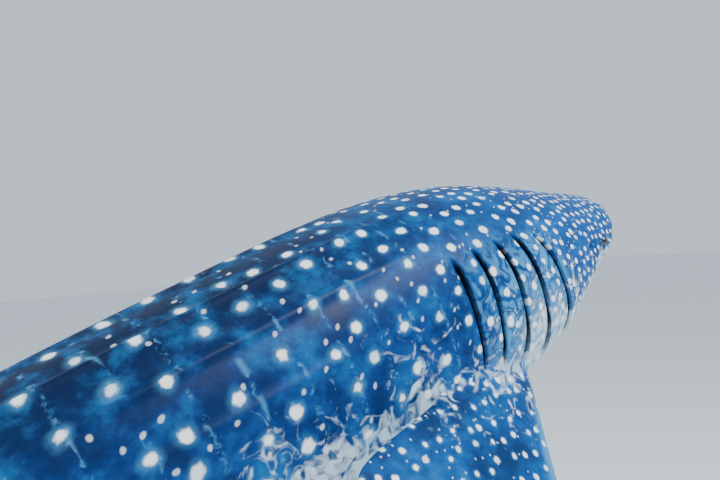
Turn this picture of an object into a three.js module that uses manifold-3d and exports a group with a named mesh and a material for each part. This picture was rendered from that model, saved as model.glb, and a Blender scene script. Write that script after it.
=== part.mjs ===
// Whale shark, a young adult six metres long, as a life-size display model on a plain stand.
// It swims nose up, with its fins spread and its tail swung gently to its right.
// Units are millimetres. +X is towards the snout, +Y the animal's left and +Z up.
// The origin is the centre of the stand base's underside, on the floor.
//
// The body is drawn in its own straight frame, with the tip of the snout at the origin and
// the tail towards -X. A place on it is a station, the share of the length behind the snout,
// and an angle round the section: 0 is the right flank, 90 the back and -90 the belly.

import * as THREE from 'three';
import { mergeVertices } from 'three/addons/utils/BufferGeometryUtils.js';
import Module from 'manifold-3d';

const wasm = await Module();
wasm.setup();

// Driving sizes and pose
const LENGTH = 6000;
const NOSE_UP = 18;
const SNOUT_PLACE = [2110, 0, 2520];
const BEND_START = 0.42;
const BEND = -0.24;

// Gap between two cut ends, and the wider one left round what stands on the curved skin
const GAP = 0.3;
const SKIN_GAP = 0.4;

// Half width, height above the axis and depth below it, as shares of the length
const PROFILE = [
  [0.00, 0.0620, 0.0170, 0.0200],
  [0.05, 0.0730, 0.0355, 0.0405],
  [0.10, 0.0850, 0.0565, 0.0630],
  [0.14, 0.0910, 0.0700, 0.0750],
  [0.18, 0.0930, 0.0770, 0.0805],
  [0.22, 0.0905, 0.0800, 0.0820],
  [0.27, 0.0845, 0.0805, 0.0795],
  [0.33, 0.0780, 0.0790, 0.0745],
  [0.40, 0.0705, 0.0765, 0.0690],
  [0.47, 0.0610, 0.0725, 0.0610],
  [0.54, 0.0500, 0.0650, 0.0510],
  [0.62, 0.0385, 0.0525, 0.0385],
  [0.70, 0.0275, 0.0390, 0.0270],
  [0.76, 0.0205, 0.0290, 0.0200],
  [0.80, 0.0170, 0.0240, 0.0165],
  [0.82, 0.0100, 0.0175, 0.0105],
  [0.84, 0.0040, 0.0090, 0.0050],
];
const BACK_POWER = 2.3;
const BELLY_POWER = 2.4;
const NOSE = { plan: 0.05, side: 0.03, power: 2.4 };

// Ridges along the back and flanks; the lowest grows into the keel of the tail stalk
const RIDGE_SPREAD = 2.2;
const RIDGES = [
  { angle: 90, start: 0.20, height: 14, keel: 0 },
  { angle: 62, start: 0.19, height: 13, keel: 0 },
  { angle: 38, start: 0.21, height: 13, keel: 0 },
  { angle: 12, start: 0.26, height: 11, keel: 30 },
];
const RIDGE_RISE = 0.08;
const KEEL_START = 0.62;
const KEEL_FULL = 0.78;
const KEEL_END = [0.79, 0.83];

// Angles round one flank, from the back to the belly, with a point on each ridge's crest and feet
const FLANK = [84, 75, 66, 62, 58, 50, 42, 38, 34, 25, 16, 12, 8, 0, -10, -20, -30, -42, -55, -72];
const RING = [90, ...FLANK, -90, ...FLANK.map((angle) => 180 - angle).reverse()];

// Stations at which the body is divided, and those between
const HEAD = [0, 0.0008, 0.003, 0.007, 0.013, 0.021, 0.031, 0.042, 0.055, 0.07, 0.09, 0.112];
const TRUNK_FRONT = [0.112, 0.13, 0.15, 0.17, 0.19, 0.21, 0.23, 0.255, 0.28, 0.305];
const TRUNK_MIDDLE = [0.305, 0.33, 0.36, 0.39, 0.42, 0.445, 0.47];
const TRUNK_REAR = [0.47, 0.495, 0.52, 0.55, 0.58, 0.61, 0.64];
const TAIL_STALK = [0.64, 0.665, 0.69, 0.715, 0.74, 0.765, 0.79];

// Stations of the backbone's end, from inside the stalk to short of the fork
const TAIL_CORE = [0.78, 0.805, 0.82, 0.835];

// Mouth: the line where the lips meet, seen from the side, as shares of the length;
// bow is how far it has dropped half-way to the corner
const MOUTH = { front: -0.0020, corner: 0.052, drop: -0.0125, chin: 0.088, bow: 0.38 };
const LIP_GROOVE = { height: 12, depth: 30 };

// Depth of the jaw's outline, below the throat
const CHIN_DEPTH = 1200;

// Eye, the hole behind it, and the flap of each nostril
const EYE = { station: 0.057, angle: -6, radius: 25, sunk: 10, rim: 9, oval: 1.15 };
const SPIRACLE = { station: 0.079, angle: -1, length: 34, height: 15, depth: 16 };
const NOSTRIL = { station: 0.0052, angle: -1.5, length: 30, width: 62, height: 26 };

// Gill slits: the station of each slit at its top, middle and bottom, with their angles
const SLITS = [
  { angles: [22, -8, -40], stations: [0.1430, 0.1290, 0.1265] },
  { angles: [26, -4, -36], stations: [0.1610, 0.1545, 0.1600] },
  { angles: [27, 0, -28], stations: [0.1780, 0.1755, 0.1850] },
  { angles: [28, 3, -23], stations: [0.1970, 0.1975, 0.2050] },
  { angles: [27, 5, -17], stations: [0.2145, 0.2160, 0.2190] },
];
// Flaps: each is a plate lifted at its rear edge and eased clear of the hollow it lies in,
// which is spread a little wider, in degrees
const GILL = {
  depth: 24, slit: 9, lift: 7, first: 0.0115, ease: 0.7, spread: 0.12, rows: 8, columns: 3,
};

// Fins: the outline of each from root to tip, as pairs of chord and span
const PECTORAL = {
  front: [0.177, -37], rear: [0.253, -14], droop: 57, thick: [120, 16], edge: 7, cup: 40,
  lead: [[-30, -200], [0, 0], [140, 300], [320, 640], [560, 960], [790, 1150]],
  trail: [[420, -200], [500, 10], [1010, 205], [880, 420], [840, 760], [815, 1140]],
};
const DORSAL_FIRST = {
  front: [0.478, 90], rear: [0.568, 90], thick: [92, 14], edge: 6, cup: 0,
  lead: [[-60, -110], [0, 0], [170, 190], [330, 380], [470, 505], [540, 522]],
  trail: [[480, -110], [540, 10], [640, 60], [575, 210], [572, 400], [560, 512]],
};
const DORSAL_SECOND = {
  front: [0.672, 90], rear: [0.718, 90], thick: [56, 10], edge: 5, cup: 0,
  lead: [[-30, -70], [0, 0], [80, 90], [170, 180], [235, 218], [262, 222]],
  trail: [[240, -70], [276, 5], [345, 32], [295, 105], [280, 180], [272, 216]],
};
const ANAL = {
  front: [0.692, -90], rear: [0.734, -90], thick: [52, 10], edge: 5, cup: 0,
  lead: [[-30, -60], [0, 0], [85, 85], [175, 172], [235, 208], [260, 212]],
  trail: [[215, -60], [252, 5], [325, 30], [285, 100], [274, 172], [268, 206]],
};
const PELVIC = {
  front: [0.545, -52], rear: [0.592, -52], droop: 48, thick: [64, 10], edge: 5, cup: 10,
  lead: [[-30, -90], [0, 0], [95, 110], [190, 220], [280, 290], [320, 300]],
  trail: [[255, -90], [282, 5], [400, 62], [345, 170], [335, 250], [330, 292]],
};
const FIN_CHORD = [0, 0.05, 0.17, 0.36, 0.6, 0.84, 1];
const FIN_SPAN = [0, 0.08, 0.2, 0.32, 0.44, 0.56, 0.68, 0.8, 0.9, 0.97, 1];

// Powers that set where a fin is thickest, how round it is and how fast it thins to the tip
const FIN_FORM = { fullest: 0.62, round: 0.8, thinning: 1.8 };

// Tail fin: each lobe's outline behind and above the end of the stalk
const TAIL_ROOT = 0.79;
const TAIL_UPPER = {
  thick: [130, 16], edge: 7,
  lead: [[-330, 20], [-60, 120], [190, 330], [560, 730], [930, 1150], [1255, 1425]],
  trail: [[60, -60], [380, 30], [680, 330], [950, 740], [1150, 1120], [1275, 1415]],
};
const TAIL_LOWER = {
  thick: [110, 16], edge: 7,
  lead: [[-300, -10], [-60, -90], [150, -240], [370, -480], [560, -680], [668, -752]],
  trail: [[60, 90], [330, 45], [470, -120], [560, -380], [640, -620], [674, -742]],
};

// Cut between the lobes: its rise for each length behind the stalk, and its height there
const FORK_RISE = 0.13;
const FORK_LEVEL = 8;

// Stand
const BASE = { length: 2700, width: 1350, height: 50, corner: 120, bevel: 8 };
const ROD = { radius: 48, flange: 125, flangeTop: 119, flangeHeight: 20, spare: 200, sides: 28 };
const ROD_STATIONS = { front: 0.285, rear: 0.585 };

// Reach of the shapes that cut the solids, past all they cut
const CUTTER_REACH = 2000;

// Points nearer than this are joined
const WELD = 1e-3;

// Materials, one finish for each kind of skin and metal
function material(name, color, roughness, metalness = 0) {
  return new THREE.MeshStandardMaterial({ name, color, roughness, metalness });
}

const BACK_SKIN = material('back_skin', 0x1d3f63, 0.5);
const GILL_SKIN = material('gill_skin', 0x3f6f93, 0.5);
const FIN_SKIN = material('fin_skin', 0x24507a, 0.5);
const EYE_GLASS = material('eye_glass', 0x0b0d10, 0.1);
const STEEL = material('stand_steel', 0x9a9d9f, 0.4, 0.9);
const BASE_PAINT = material('base_paint', 0x3a3d40, 0.55);

// Curves of the body

// Smooth curve through the rows of a table, read at one place in the first column.
function readProfile(table, place, column) {
  let row = 0;
  while (row < table.length - 2 && place > table[row + 1][0]) row += 1;
  const slope = (index) => {
    const before = table[Math.max(index - 1, 0)];
    const after = table[Math.min(index + 1, table.length - 1)];
    return (after[column] - before[column]) / (after[0] - before[0]);
  };
  const span = table[row + 1][0] - table[row][0];
  const t = (place - table[row][0]) / span;
  const rest = 1 - t;
  return (1 + 2 * t) * rest * rest * table[row][column]
    + t * rest * rest * span * slope(row)
    + t * t * (3 - 2 * t) * table[row + 1][column]
    - t * t * rest * span * slope(row + 1);
}

// Share of the full section that the rounded front of the snout has reached.
function noseShare(station, reach) {
  const t = Math.min(station / reach, 1);
  return (1 - (1 - t) ** NOSE.power) ** (1 / NOSE.power);
}

function signedPower(value, power) {
  return Math.sign(value) * Math.abs(value) ** power;
}

// Height of the ridges and keels above the plain body.
function ridgeHeight(station, angle) {
  const upright = angle > 90 ? 180 - angle : angle;
  let height = 0;
  for (const ridge of RIDGES) {
    const rise = THREE.MathUtils.smoothstep(station, ridge.start, ridge.start + RIDGE_RISE);
    const keel = THREE.MathUtils.smoothstep(station, KEEL_START, KEEL_FULL);
    const offset = (upright - ridge.angle) / RIDGE_SPREAD;
    height += (ridge.height * rise + ridge.keel * keel) * Math.exp(-offset * offset);
  }
  return height * (1 - THREE.MathUtils.smoothstep(station, ...KEEL_END));
}

// Point on the straight body, moved out along the section's normal by grow.
function skinPoint(station, angle, grow = 0) {
  const radians = THREE.MathUtils.degToRad(angle);
  const across = Math.cos(radians);
  const upward = Math.sin(radians);
  const above = upward >= 0;
  const power = above ? BACK_POWER : BELLY_POWER;
  const width = LENGTH * readProfile(PROFILE, station, 1) * noseShare(station, NOSE.plan);
  const height = LENGTH * readProfile(PROFILE, station, above ? 2 : 3) * noseShare(station, NOSE.side);
  const side = signedPower(across, 2 / power);
  const rise = signedPower(upward, 2 / power);
  const normal = new THREE.Vector2(
    signedPower(side, power - 1) / Math.max(width, 1),
    signedPower(rise, power - 1) / Math.max(height, 1),
  ).normalize();
  const out = grow + ridgeHeight(station, angle);
  return new THREE.Vector3(
    -station * LENGTH,
    -(width * side + out * normal.x),
    height * rise + out * normal.y,
  );
}

// Swings the rear of the straight body to its right, each section square to the spine.
function bend(point) {
  const along = Math.max(0, -point.x / LENGTH - BEND_START);
  const slope = 2 * BEND * along;
  const turn = Math.hypot(1, slope);
  return new THREE.Vector3(
    point.x + point.y * slope / turn,
    BEND * along * along * LENGTH + point.y / turn,
    point.z,
  );
}

// Solids

function indexedGeometry(points, triangles) {
  const position = new THREE.Float32BufferAttribute(points.flatMap((p) => [p.x, p.y, p.z]), 3);
  const geometry = new THREE.BufferGeometry();
  geometry.setAttribute('position', position);
  geometry.setIndex(triangles.flat());
  return geometry;
}

// Solid inside a closed geometry, with empty triangles left out and its faces turned outward.
function toSolid(geometry) {
  const bare = geometry.clone();
  bare.deleteAttribute('normal');
  bare.deleteAttribute('uv');
  const merged = mergeVertices(bare, WELD);
  const index = merged.index.array;
  const kept = [];
  for (let i = 0; i < index.length; i += 3) {
    const [a, b, c] = [index[i], index[i + 1], index[i + 2]];
    if (a !== b && b !== c && c !== a) kept.push(a, b, c);
  }
  const solid = (order) => new wasm.Manifold(new wasm.Mesh({
    numProp: 3,
    vertProperties: new Float32Array(merged.attributes.position.array),
    triVerts: new Uint32Array(order),
  }));
  const first = solid(kept);
  return first.volume() > 0 ? first : solid(kept.slice().reverse());
}

// Geometry of a solid's largest closed piece.
function toGeometry(solid) {
  const pieces = solid.decompose();
  const largest = pieces.reduce((a, b) => (a.volume() > b.volume() ? a : b));
  const { vertProperties, triVerts } = largest.getMesh();
  const geometry = new THREE.BufferGeometry();
  geometry.setAttribute('position', new THREE.BufferAttribute(vertProperties, 3));
  geometry.setIndex(new THREE.BufferAttribute(triVerts, 1));
  geometry.computeVertexNormals();
  return geometry;
}

// Closed skin over a row of rings, with a fan to the middle of each end.
function loft(rings) {
  const middle = (ring) => ring.reduce((sum, p) => sum.add(p), new THREE.Vector3())
    .divideScalar(ring.length);
  const count = rings[0].length;
  const last = rings.length - 1;
  const points = [...rings.flat(), middle(rings[0]), middle(rings[last])];
  const triangles = [];
  for (let i = 0; i < count; i += 1) {
    const next = (i + 1) % count;
    for (let ring = 0; ring < last; ring += 1) {
      const [a, b] = [ring * count + i, ring * count + next];
      triangles.push([a, b, b + count], [a, b + count, a + count]);
    }
    triangles.push([next, i, points.length - 2]);
    triangles.push([last * count + i, last * count + next, points.length - 1]);
  }
  return toSolid(indexedGeometry(points, triangles));
}

// Closed plate between two like grids of points, split into triangles alike on both faces.
function plate(upper, lower) {
  const rows = upper.length;
  const columns = upper[0].length;
  const points = [...upper.flat(), ...lower.flat()];
  const under = rows * columns;
  const at = (row, column) => row * columns + column;
  const triangles = [];
  const quad = (a, b, c, d) => triangles.push([a, b, c], [a, c, d]);
  for (let row = 0; row < rows - 1; row += 1) {
    for (let column = 0; column < columns - 1; column += 1) {
      const [a, b] = [at(row, column), at(row, column + 1)];
      const [c, d] = [at(row + 1, column + 1), at(row + 1, column)];
      quad(a, b, c, d);
      triangles.push([under + a, under + c, under + b], [under + a, under + d, under + c]);
    }
    const [top, end] = [at(row, 0), at(row, columns - 1)];
    quad(top, top + columns, under + top + columns, under + top);
    quad(end + columns, end, under + end, under + end + columns);
  }
  for (let column = 0; column < columns - 1; column += 1) {
    const [first, final] = [at(0, column), at(rows - 1, column)];
    quad(first + 1, first, under + first, under + first + 1);
    quad(final, final + 1, under + final + 1, under + final);
  }
  return toSolid(indexedGeometry(points, triangles));
}

// Ring of points round the bent body.
function bodyRing(station, grow = 0) {
  return RING.map((angle) => bend(skinPoint(station, angle, grow)));
}

// Length of the body between two stations, drawn in by half a gap at each cut end.
function bodyLength(stations) {
  const inset = GAP / 2 / LENGTH;
  const last = stations.length - 1;
  const drawnIn = stations.map((station, index) => {
    if (index === 0 && station > 0) return station + inset;
    return index === last ? station - inset : station;
  });
  return loft(drawnIn.map((station) => bodyRing(station)));
}

// The body as far as the tail fin, grown by a gap, which cuts what stands on it.
const ALL_STATIONS = [HEAD, TRUNK_FRONT, TRUNK_MIDDLE, TRUNK_REAR, TAIL_STALK]
  .flatMap((stations) => stations.slice(0, -1));
const GROWN_BODY = loft([...ALL_STATIONS, TAIL_ROOT].map((station) => bodyRing(station, SKIN_GAP)));

// Turns a solid about by a matrix, keeping it a solid.
function placed(geometry, matrix) {
  return toSolid(geometry.clone().applyMatrix4(matrix));
}

// Ball drawn out along three directions.
function ball(centre, size, alongX = new THREE.Vector3(1, 0, 0), alongY = new THREE.Vector3(0, 1, 0)) {
  const x = alongX.clone().normalize();
  const z = x.clone().cross(alongY).normalize();
  const y = z.clone().cross(x);
  const matrix = new THREE.Matrix4().makeBasis(
    x.multiplyScalar(size[0]),
    y.multiplyScalar(size[1]),
    z.multiplyScalar(size[2]),
  ).setPosition(centre);
  return placed(new THREE.SphereGeometry(1, 16, 10), matrix);
}

// Direction out of the body at a station and angle.
function outward(station, angle) {
  return skinPoint(station, angle, 1).sub(skinPoint(station, angle)).normalize();
}

// Head

// Solid below a side outline of the head, drawn right across it.
function acrossHead(outline) {
  const shape = new THREE.Shape(outline.map(([x, z]) => new THREE.Vector2(x, z)));
  const geometry = new THREE.ExtrudeGeometry(shape, { depth: 2 * CUTTER_REACH, bevelEnabled: false });
  geometry.translate(0, 0, -CUTTER_REACH);
  return placed(geometry, new THREE.Matrix4().makeRotationX(Math.PI / 2));
}

// Side outline under the mouth line, with the line moved up by rise and back by reach.
function jawOutline(rise, reach = 0) {
  const corner = -MOUTH.corner * LENGTH - reach;
  const chin = -MOUTH.chin * LENGTH - reach;
  return [
    [CUTTER_REACH, MOUTH.front * LENGTH + rise],
    [0, MOUTH.front * LENGTH + rise],
    [corner / 2, THREE.MathUtils.lerp(MOUTH.front, MOUTH.drop, MOUTH.bow) * LENGTH + rise],
    [corner, MOUTH.drop * LENGTH + rise],
    [chin, -CHIN_DEPTH],
    [CUTTER_REACH, -CHIN_DEPTH],
  ];
}

// Groove between the lips, cut in from the skin along the mouth line.
function lipGroove() {
  const corner = -MOUTH.corner * LENGTH;
  const half = LIP_GROOVE.height / 2;
  const line = jawOutline(0).slice(0, 4);
  const upper = line.map(([x, z]) => [x, z + half]);
  const lower = line.map(([x, z]) => [x, z - half]).reverse();
  const band = acrossHead([...upper, [corner - half, MOUTH.drop * LENGTH], ...lower]);
  const core = HEAD.filter((station) => station > LIP_GROOVE.depth / LENGTH);
  const inner = [LIP_GROOVE.depth / LENGTH, ...core];
  return band.subtract(loft(inner.map((station) => bodyRing(station, -LIP_GROOVE.depth))));
}

// Eye's centre, sunk into the side of the head.
function eyeCentre(side) {
  const centre = skinPoint(EYE.station, EYE.angle, -EYE.sunk);
  centre.y *= side;
  return centre;
}

// Raised rim round the eye, part of the head.
function eyeRim(side) {
  const out = outward(EYE.station, EYE.angle);
  out.y *= side;
  const centre = skinPoint(EYE.station, EYE.angle, 0);
  centre.y *= side;
  const turn = new THREE.Quaternion().setFromUnitVectors(new THREE.Vector3(0, 0, 1), out);
  const size = new THREE.Vector3(EYE.oval, 1, 1);
  const matrix = new THREE.Matrix4().compose(centre, turn, size);
  return placed(new THREE.TorusGeometry(EYE.radius + EYE.rim * 0.5, EYE.rim, 6, 18), matrix);
}

// Hole behind the eye, cut out of the head.
function spiracle(side) {
  const centre = skinPoint(SPIRACLE.station, SPIRACLE.angle);
  centre.y *= side;
  return ball(centre, [SPIRACLE.length, SPIRACLE.depth, SPIRACLE.height]);
}

// The head, the lower jaw and the two eyes.
function headPieces() {
  const whole = bodyLength(HEAD);
  const groove = lipGroove();
  const jaw = whole.intersect(acrossHead(jawOutline(-GAP / 2))).subtract(groove);
  let head = whole.subtract(acrossHead(jawOutline(GAP / 2, GAP / 2))).subtract(groove);
  const eyes = {};
  for (const [name, side] of [['right', 1], ['left', -1]]) {
    const hollow = EYE.radius + SKIN_GAP;
    const socket = ball(eyeCentre(side), [hollow, hollow, hollow]);
    head = head.add(eyeRim(side)).subtract(socket).subtract(spiracle(side));
    eyes[name] = ball(eyeCentre(side), [EYE.radius, EYE.radius, EYE.radius]);
  }
  return { head, jaw, eyes };
}

// Nasal flap: a soft lobe on the upper lip, over the nostril.
function nasalFlap(side, groove) {
  const centre = skinPoint(NOSTRIL.station, NOSTRIL.angle);
  centre.z = MOUTH.front * LENGTH + LIP_GROOVE.height / 2 + NOSTRIL.height;
  centre.y *= side;
  return ball(centre, [NOSTRIL.length, NOSTRIL.width / 2, NOSTRIL.height])
    .subtract(GROWN_BODY).subtract(groove);
}

// Gills

// Station of a slit at an angle, on the curve through its top, middle and bottom.
function slitStation(slit, angle) {
  const [a, b, c] = slit.angles;
  const [p, q, r] = slit.stations;
  return p * ((angle - b) * (angle - c)) / ((a - b) * (a - c))
    + q * ((angle - a) * (angle - c)) / ((b - a) * (b - c))
    + r * ((angle - a) * (angle - b)) / ((c - a) * (c - b));
}

// Grid over one flap, from the slit ahead of it to its own slit, spread wider by degrees.
function flapGrid(number, grow, spread) {
  const slit = SLITS[number];
  const ahead = SLITS[number - 1];
  const [top, , bottom] = slit.angles;
  const rows = [];
  for (let row = 0; row <= GILL.rows; row += 1) {
    const angle = THREE.MathUtils.lerp(top + spread, bottom - spread, row / GILL.rows);
    const end = slitStation(slit, angle) - GILL.slit / 2 / LENGTH;
    const start = ahead ? slitStation(ahead, angle) + GILL.slit / 2 / LENGTH : end - GILL.first;
    const cells = [];
    for (let column = 0; column <= GILL.columns; column += 1) {
      const t = column / GILL.columns;
      const station = THREE.MathUtils.lerp(start, end, t);
      cells.push({ station, angle, out: grow(t) });
    }
    rows.push(cells);
  }
  return rows;
}

// Bent points of a grid, on one side of the body.
function gridPoints(cells, side) {
  return cells.map((row) => row.map(({ station, angle, out }) => {
    const point = skinPoint(station, angle, out);
    point.y *= side;
    return bend(point);
  }));
}

// Plate of one flap, its rear edge lifted off the body.
function gillFlap(number, side) {
  const outer = flapGrid(number, (t) => GILL.lift * t * t, 0);
  const inner = flapGrid(number, () => -GILL.depth + GILL.ease, 0);
  return plate(gridPoints(outer, side), gridPoints(inner, side));
}

// Hollow under one flap and its slit, cut out of the trunk.
function gillHollow(number, side) {
  const spare = GILL.ease / LENGTH;
  const widen = (cells) => cells.map((row) => {
    const slit = GILL.slit / LENGTH;
    const first = { ...row[0], station: row[0].station - spare };
    const final = { ...row[row.length - 1] };
    const beyond = { ...final, station: final.station + slit + spare / 2 };
    return [first, ...row.slice(1), beyond];
  });
  const outer = widen(flapGrid(number, () => 2 * GILL.depth, GILL.spread));
  const inner = widen(flapGrid(number, () => -GILL.depth, GILL.spread));
  return plate(gridPoints(outer, side), gridPoints(inner, side));
}

// Fins

// Smooth outline through its points, read from the root at 0 to the tip at 1.
function outlinePoint(points, t) {
  return new THREE.SplineCurve(points.map(([x, y]) => new THREE.Vector2(x, y))).getPoint(t);
}

// Half thickness of a fin across its chord, fullest ahead of the middle.
function finSection(u, full, edge) {
  const share = Math.sin(Math.PI * u ** FIN_FORM.fullest) ** FIN_FORM.round;
  return (edge + (full - edge) * share) / 2;
}

// Fin from its outline, set on the body by its root's two ends and its span direction.
function finSolid(fin, origin, chord, span, side) {
  const normal = chord.clone().cross(span).normalize();
  const faces = [1, -1].map((face) => FIN_SPAN.map((t) => {
    const lead = outlinePoint(fin.lead, t);
    const trail = outlinePoint(fin.trail, t);
    const full = fin.thick[1] + (fin.thick[0] - fin.thick[1]) * (1 - t) ** FIN_FORM.thinning;
    return FIN_CHORD.map((u) => {
      const place = lead.clone().lerp(trail, u);
      const cup = fin.cup * t * t;
      const point = origin.clone()
        .addScaledVector(chord, place.x)
        .addScaledVector(span, place.y)
        .addScaledVector(normal, face * finSection(u, full, fin.edge) + cup);
      point.y *= side;
      return bend(point);
    });
  }));
  return plate(faces[0], faces[1]);
}

// Fin on the middle line of the back or belly.
function middleFin(fin) {
  const origin = skinPoint(...fin.front);
  const chord = skinPoint(...fin.rear).sub(origin).normalize();
  const span = new THREE.Vector3(0, fin.front[1] > 0 ? 1 : -1, 0);
  span.crossVectors(chord, span).normalize();
  if (span.z * fin.front[1] < 0) span.negate();
  return finSolid(fin, origin, chord, span, 1).subtract(GROWN_BODY);
}

// One of a pair of fins, spread out from the flank and drooping below the level.
function pairedFin(fin, side) {
  const origin = skinPoint(...fin.front);
  const chord = skinPoint(...fin.rear).sub(origin).normalize();
  const droop = THREE.MathUtils.degToRad(fin.droop);
  const span = new THREE.Vector3(0, -Math.cos(droop), -Math.sin(droop));
  span.addScaledVector(chord, -span.dot(chord)).normalize();
  return finSolid(fin, origin, chord, span, side).subtract(GROWN_BODY);
}

// Both lobes of the tail fin, with the end of the backbone running up into them.
function tailFin() {
  const origin = new THREE.Vector3(-TAIL_ROOT * LENGTH, 0, 0);
  const chord = new THREE.Vector3(-1, 0, 0);
  const span = new THREE.Vector3(0, 0, 1);
  const lobe = (shape) => finSolid({ ...shape, cup: 0 }, origin, chord, span, 1);
  const core = loft(TAIL_CORE.map((station) => bodyRing(station)));
  return lobe(TAIL_UPPER).add(lobe(TAIL_LOWER)).add(core).subtract(GROWN_BODY);
}

// Half of the tail fin above or below the line from the stalk to the fork.
function tailHalf(fin, side) {
  const reach = CUTTER_REACH;
  const level = FORK_LEVEL + side * GAP / 2;
  const shape = new THREE.Shape([
    new THREE.Vector2(-reach, level - reach * FORK_RISE),
    new THREE.Vector2(reach, level + reach * FORK_RISE),
    new THREE.Vector2(reach, level + side * reach),
    new THREE.Vector2(-reach, level + side * reach),
  ]);
  const geometry = new THREE.ExtrudeGeometry(shape, { depth: 2 * reach, bevelEnabled: false });
  geometry.translate(0, 0, -reach);
  const matrix = new THREE.Matrix4().makeBasis(
    new THREE.Vector3(-1, 0, 0),
    new THREE.Vector3(0, 0, 1),
    new THREE.Vector3(0, 1, 0),
  ).setPosition(-TAIL_ROOT * LENGTH, 0, 0);
  return fin.intersect(placed(geometry, matrix));
}

// Model

const model = new THREE.Group();
const shark = new THREE.Group();
shark.position.set(...SNOUT_PLACE);
shark.rotation.y = -THREE.MathUtils.degToRad(NOSE_UP);
model.add(shark);
model.updateMatrixWorld(true);

function addPiece(group, name, solid, finish) {
  const mesh = new THREE.Mesh(toGeometry(solid), finish);
  mesh.name = name;
  group.add(mesh);
}

const SIDES = [['right', 1], ['left', -1]];

// Head, jaw, eyes, gills and the lengths of the trunk.
function addBody() {
  const { head, jaw, eyes } = headPieces();
  const groove = lipGroove();
  addPiece(shark, 'head', head, BACK_SKIN);
  addPiece(shark, 'lower_jaw', jaw, BACK_SKIN);
  for (const [name, side] of SIDES) {
    addPiece(shark, `eye_${name}`, eyes[name], EYE_GLASS);
    addPiece(shark, `nasal_flap_${name}`, nasalFlap(side, groove), BACK_SKIN);
  }
  let front = bodyLength(TRUNK_FRONT);
  for (const [name, side] of SIDES) {
    SLITS.forEach((slit, number) => {
      front = front.subtract(gillHollow(number, side));
      addPiece(shark, `gill_flap_${name}_${number + 1}`, gillFlap(number, side), GILL_SKIN);
    });
  }
  addPiece(shark, 'trunk_front', front, BACK_SKIN);
  addPiece(shark, 'trunk_middle', bodyLength(TRUNK_MIDDLE), BACK_SKIN);
  addPiece(shark, 'trunk_rear', bodyLength(TRUNK_REAR), BACK_SKIN);
  addPiece(shark, 'tail_stalk', bodyLength(TAIL_STALK), BACK_SKIN);
}

function addFins() {
  for (const [name, side] of SIDES) {
    addPiece(shark, `pectoral_fin_${name}`, pairedFin(PECTORAL, side), FIN_SKIN);
    addPiece(shark, `pelvic_fin_${name}`, pairedFin(PELVIC, side), FIN_SKIN);
  }
  addPiece(shark, 'dorsal_fin_first', middleFin(DORSAL_FIRST), FIN_SKIN);
  addPiece(shark, 'dorsal_fin_second', middleFin(DORSAL_SECOND), FIN_SKIN);
  addPiece(shark, 'anal_fin', middleFin(ANAL), FIN_SKIN);
  const tail = tailFin();
  addPiece(shark, 'caudal_fin_upper', tailHalf(tail, 1), FIN_SKIN);
  addPiece(shark, 'caudal_fin_lower', tailHalf(tail, -1), FIN_SKIN);
}

// Base of the stand, with rounded corners and bevelled edges.
function roundedPlate() {
  const [x, y] = [BASE.length / 2 - BASE.bevel, BASE.width / 2 - BASE.bevel];
  const radius = BASE.corner;
  const shape = new THREE.Shape();
  shape.absarc(x - radius, y - radius, radius, 0, Math.PI / 2);
  shape.absarc(radius - x, y - radius, radius, Math.PI / 2, Math.PI);
  shape.absarc(radius - x, radius - y, radius, Math.PI, 1.5 * Math.PI);
  shape.absarc(x - radius, radius - y, radius, 1.5 * Math.PI, 2 * Math.PI);
  const geometry = new THREE.ExtrudeGeometry(shape, {
    depth: BASE.height - 2 * BASE.bevel,
    bevelThickness: BASE.bevel,
    bevelSize: BASE.bevel,
    bevelSegments: 1,
    curveSegments: 6,
  });
  geometry.translate(0, 0, BASE.bevel);
  return toSolid(geometry);
}

// Upright rod on its flange, cut off where it meets the belly.
function standRod(station) {
  const top = bend(skinPoint(station, -90)).applyMatrix4(shark.matrixWorld);
  const foot = BASE.height + GAP;
  const height = top.z - foot + ROD.spare;
  const stem = new THREE.CylinderGeometry(ROD.radius, ROD.radius, height, ROD.sides);
  const disc = new THREE.CylinderGeometry(
    ROD.flangeTop,
    ROD.flange,
    ROD.flangeHeight,
    ROD.sides,
  );
  const toBody = shark.matrixWorld.clone().invert();
  const upright = new THREE.Matrix4().makeRotationX(Math.PI / 2);
  const at = (length) => new THREE.Matrix4()
    .makeTranslation(top.x, top.y, foot + length / 2).multiply(upright).premultiply(toBody);
  return placed(stem, at(height)).add(placed(disc, at(ROD.flangeHeight))).subtract(GROWN_BODY);
}

function addStand() {
  addPiece(model, 'stand_base', roundedPlate(), BASE_PAINT);
  addPiece(shark, 'stand_rod_front', standRod(ROD_STATIONS.front), STEEL);
  addPiece(shark, 'stand_rod_rear', standRod(ROD_STATIONS.rear), STEEL);
}

addBody();
addFins();
addStand();

export default model;
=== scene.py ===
"""Whale shark, six metres long, as a life-size display model on a plain stand.

One smooth skin stands for all the flesh of the solids. It is drawn from the same stations and
sizes as they are, in metres, with its gill slits, mouth, ridges and fin roots shaped in the
mesh, and its spots painted by a procedural material on coordinates that follow the body.
"""

import logging
import math
from dataclasses import dataclass, field
from enum import Enum
from typing import Callable, Sequence

import bmesh
import bpy
import numpy as np
from mathutils import Matrix, Vector
from mathutils.kdtree import KDTree


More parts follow.
